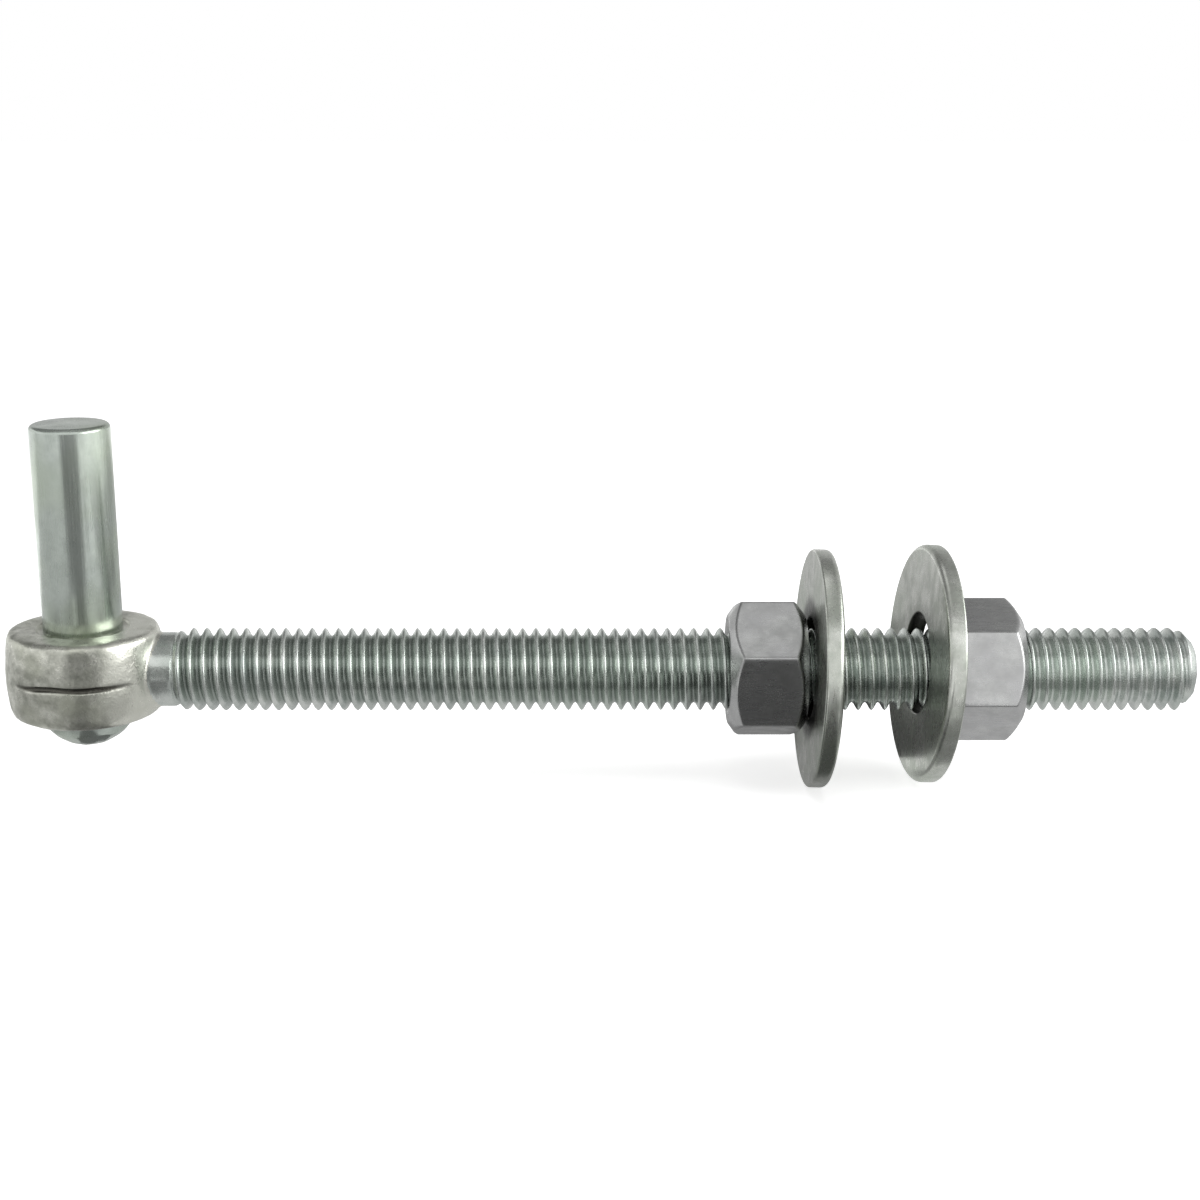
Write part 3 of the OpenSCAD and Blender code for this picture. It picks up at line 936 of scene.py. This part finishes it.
class MakeStage(bpy.types.Operator):
    """Sets up the pale floor, the soft studio light and the camera"""

    bl_idname = "gate_hook.stage"
    bl_label = "Studio"

    def execute(self, context):
        scene = context.scene
        scene.view_settings.view_transform = "Standard"
        self.light_world(scene)
        self.lay_floor(scene)
        self.hang_flags(scene)
        self.hang_lamps(scene)
        self.aim_camera(scene)
        return {"FINISHED"}

    def seen_directly(self, tree):
        """1 for what the camera sees straight, mirrored or through glass."""
        path = add(tree, "ShaderNodeLightPath").outputs
        seen = add(tree, MATH, {0: path["Is Camera Ray"], 1: path["Is Glossy Ray"]}, "MAXIMUM")
        return add(tree, MATH, {0: seen, 1: path["Is Transmission Ray"]}, "MAXIMUM")

    def light_world(self, scene):
        """White where it is seen, and a soft even light elsewhere."""
        world = bpy.data.worlds.new("white studio")
        tree = bare_tree(world)
        strength = ramp(tree, self.seen_directly(tree), 0.0, 1.0, first=WORLD_LIGHT)
        glow = add(tree, "ShaderNodeBackground", {"Color": (1, 1, 1, 1), "Strength": strength})
        add(tree, "ShaderNodeOutputWorld", {"Surface": glow})
        scene.world = world

    def plane(self, scene, name, corners, material):
        """A flat stage piece with these corners."""
        mesh = bpy.data.meshes.new(name)
        mesh.from_pydata(corners, [], [range(len(corners))])
        mesh.materials.append(material)
        piece = bpy.data.objects.new(name, mesh)
        scene.collection.objects.link(piece)
        return piece

    def lay_floor(self, scene):
        """White card: it takes the shadow, and is as white as the background elsewhere."""
        made = bpy.data.materials.new("white card")
        tree = bare_tree(made)
        card = add(tree, "ShaderNodeBsdfDiffuse", {"Color": (*linear("#e4e4e4"), 1)})
        strength = add(tree, MATH, {0: self.seen_directly(tree), 1: FLOOR_GLOW}, "MULTIPLY")
        glow = add(tree, "ShaderNodeEmission", {"Strength": strength})
        both = add(tree, "ShaderNodeAddShader", {0: card, 1: glow})
        add(tree, "ShaderNodeOutputMaterial", {"Surface": both})
        z = CAD_LOW.z - 0.1 * MM
        corners = oblong(-FLOOR_HALF, FLOOR_HALF, -FLOOR_HALF, FLOOR_HALF)
        self.plane(scene, "floor", [(x, y, z) for x, y in corners], made)

    def hang_flags(self, scene):
        """Grey flags: glowing sheets that only mirrored rays see, so that the metal's curves read against
        the white. They are painted reflections; the dark ones stand for floor in shade.
        """
        low = CAD_LOW.z
        # On the floor: tone, millimetres above the card, and corners from above.
        lying = {
            "near_flag": ("#8e8e8e", 0.02, oblong(0.045, 0.195, -0.05, -0.018)),
            "neck_flag": ("#b0b0b0", 0.02, oblong(-0.03, 0.045, -0.075, -0.018)),
            "far_flag": ("#dcdcdc", 0.0, oblong(-0.03, 0.195, -0.145, -0.045)),
            "end_flag": ("#a2a2a2", 0.02, oblong(0.195, 0.28, -0.1, -0.018)),
            "eye_flag": ("#808080", 0.04, oblong(0.0, 0.05, -0.135, -0.075)),
            "rivet_flag": (
                "#747474", 0.06, [(-0.006, -0.075), (0.014, -0.075), (0.01, 0.004), (-0.005, 0.004)]
            ),
            "beside_flag": ("#b8b8b8", 0.06, oblong(-0.075, -0.02, -0.085, 0.01)),
            "wide_flag": (
                "#787878",
                0.04,
                [(-0.105, -0.05), (-0.04, -0.118), (-0.02, -0.118), (-0.02, 0.01), (-0.105, 0.01)],
            ),
            "left_flag": ("#d4d4d4", 0.02, oblong(-1.0, -0.03, -0.8, 0.1)),
            "right_flag": ("#b8b8b8", 0.0, oblong(0.25, 0.6, -0.2, 0.014)),
            "rod_flag": ("#d0d0d0", 0.02, oblong(-0.03, 0.122, -0.018, 0.014)),
            "grip_flag": ("#989898", 0.02, oblong(0.122, 0.165, -0.018, 0.004)),
            "rim_flag": (
                "#585858", 0.04, [(0.147, -0.075), (0.168, -0.075), (0.162, -0.016), (0.146, -0.016)]
            ),
            "front_rim_flag": (
                "#787878", 0.02, [(0.15, -0.2), (0.203, -0.2), (0.188, -0.075), (0.15, -0.075)]
            ),
            "tip_flag": ("#d6d6d6", 0.02, oblong(0.165, 0.25, -0.018, 0.014)),
            "inner_flag": ("#9b9b9b", 0.04, oblong(0.122, 0.147, 0.004, 0.06)),
            "behind_flag": ("#c8c8c8", 0.02, oblong(-0.03, 0.4, 0.014, 0.4)),
            "far_behind_flag": (
                "#a8a8a8", 0.04, [(0.27, 0.06), (0.45, 0.06), (0.45, 0.45), (0.15, 0.45), (0.15, 0.27)]
            ),
            "far_right_flag": ("#d4d4d4", 0.0, oblong(0.2, 0.6, -0.42, -0.2)),
            "post_flag": ("#484848", 0.06, [(0.147, 0.012), (0.18, 0.012), (0.16, 0.13), (0.115, 0.13)]),
        }
        flags = {}
        for name, (tone, lift, corners) in lying.items():
            flags[name] = (tone, [(x, y, low + lift * MM) for x, y in corners])
        # Overhead: tone, height, and corners from above.
        hung = {
            "top_flag": ("#999999", 0.4, oblong(-0.7, 0.32, -0.28, 0.12)),
            "back_flag": ("#868686", 0.4, oblong(-0.7, 0.32, 0.12, 0.7)),
            "side_flag": ("#bcbcbc", 0.4, oblong(0.32, 0.9, -0.28, 0.7)),
            "nut_card": ("#dedede", 0.15, oblong(0.105, 0.178, -0.05, 0.07)),
        }
        for name, (tone, z, corners) in hung.items():
            flags[name] = (tone, [(x, y, z) for x, y in corners])
        # Upright: tone, place towards the back, and corners from the front.
        standing = {
            "front_flag": (
                "#898989", -0.13, [(-0.032, low), (0.09, low), (0.085, 0.045), (-0.032, 0.045)]
            ),
            "rim_card": ("#787878", -0.2, oblong(0.158, 0.205, low, -0.01)),
            "wall_flag": ("#cecece", 0.7, oblong(-0.7, 0.9, 0.03, 0.4)),
        }
        for name, (tone, y, corners) in standing.items():
            flags[name] = (tone, [(x, y, z) for x, z in corners])
        # Leaning in front of the inner nut's lower flat.
        (y0, z0), (y1, z1) = (-0.022, -0.03), (-0.034, -0.003)
        flags["nut_flag"] = (
            "#595959", [(0.122, y0, z0), (0.146, y0, z0), (0.146, y1, z1), (0.122, y1, z1)]
        )
        # Upright and edge-on to the camera, for the pin's foot and the eye's right side.
        flags["pin_card"] = ("#dedede", [(0.1, y, z) for y, z in oblong(-0.095, -0.02, low, -0.008)])
        for name, (tone, corners) in flags.items():
            made = bpy.data.materials.new(name)
            tree = bare_tree(made)
            # Each sheet glows with its tone: a painted reflection, seen on the metal only.
            card = add(tree, "ShaderNodeEmission", {"Color": (*linear(tone), 1)})
            add(tree, "ShaderNodeOutputMaterial", {"Surface": card})
            flag = self.plane(scene, name, corners, made)
            for ray in ("camera", "diffuse", "transmission", "shadow"):
                setattr(flag, "visible_" + ray, False)

    def hang_lamps(self, scene):
        """Large soft lamps beyond the free end, at the right and above."""
        target = (CAD_LOW + CAD_HIGH) / 2
        lamps = {
            "end_softbox": ((0.75, -0.02, 0.3), 0.5, 1.9),
            "right_softbox": ((0.8, -0.4, 0.3), 0.5, 1.5),
            "top_softbox": ((0.1, -0.15, 0.8), 0.6, 2.0),
        }
        for name, (place, size, watts) in lamps.items():
            data = bpy.data.lights.new(name, "AREA")
            data.shape = "DISK"
            data.size = size
            data.energy = watts
            lamp = bpy.data.objects.new(name, data)
            lamp.location = place
            lamp.rotation_euler = (target - Vector(place)).to_track_quat("-Z", "Y").to_euler()
            scene.collection.objects.link(lamp)

    def aim_camera(self, scene):
        """A camera that looks along the pin's front, a little from above."""
        data = bpy.data.cameras.new("camera")
        data.lens = CAMERA_LENS
        data.sensor_width = 36
        data.clip_start = 0.01
        camera = bpy.data.objects.new("camera", data)
        camera.location = CAMERA_PLACE
        camera.rotation_euler = (math.radians(90 - CAMERA_DIP), 0, 0)
        scene.collection.objects.link(camera)
        scene.camera = camera


MAKERS = (MakeEyeBolt, MakeHingePin, MakeNuts, MakeWashers, MakeStage)


class HookPanel(bpy.types.Panel):
    """Lists the hook's pieces, sizes and colours"""

    bl_idname = "VIEW3D_PT_gate_hook"
    bl_label = "Gate hook bolt"
    bl_space_type = "VIEW_3D"
    bl_region_type = "UI"
    bl_category = "Gate hook"

    def draw(self, context):
        for maker in MAKERS:
            self.layout.operator(maker.bl_idname)
        for group in (context.scene.hook_sizes, context.scene.hook_finishes):
            for name in group.bl_rna.properties.keys():
                if name not in ("rna_type", "name"):
                    self.layout.prop(group, name)


CLASSES = (HookSizes, HookFinishes, *MAKERS, HookPanel)


def register():
    """Adds the operators, the panel and the sizes and colours."""
    for part in CLASSES:
        bpy.utils.register_class(part)
    bpy.types.Scene.hook_sizes = bpy.props.PointerProperty(type=HookSizes)
    bpy.types.Scene.hook_finishes = bpy.props.PointerProperty(type=HookFinishes)


def unregister():
    """Takes them away again."""
    del bpy.types.Scene.hook_finishes
    del bpy.types.Scene.hook_sizes
    for part in reversed(CLASSES):
        bpy.utils.unregister_class(part)


def main():
    """Makes every piece and the studio."""
    register()
    bpy.ops.gate_hook.eye_bolt()
    bpy.ops.gate_hook.hinge_pin()
    bpy.ops.gate_hook.nuts()
    bpy.ops.gate_hook.washers()
    bpy.ops.gate_hook.stage()


if __name__ == "__main__":
    main()
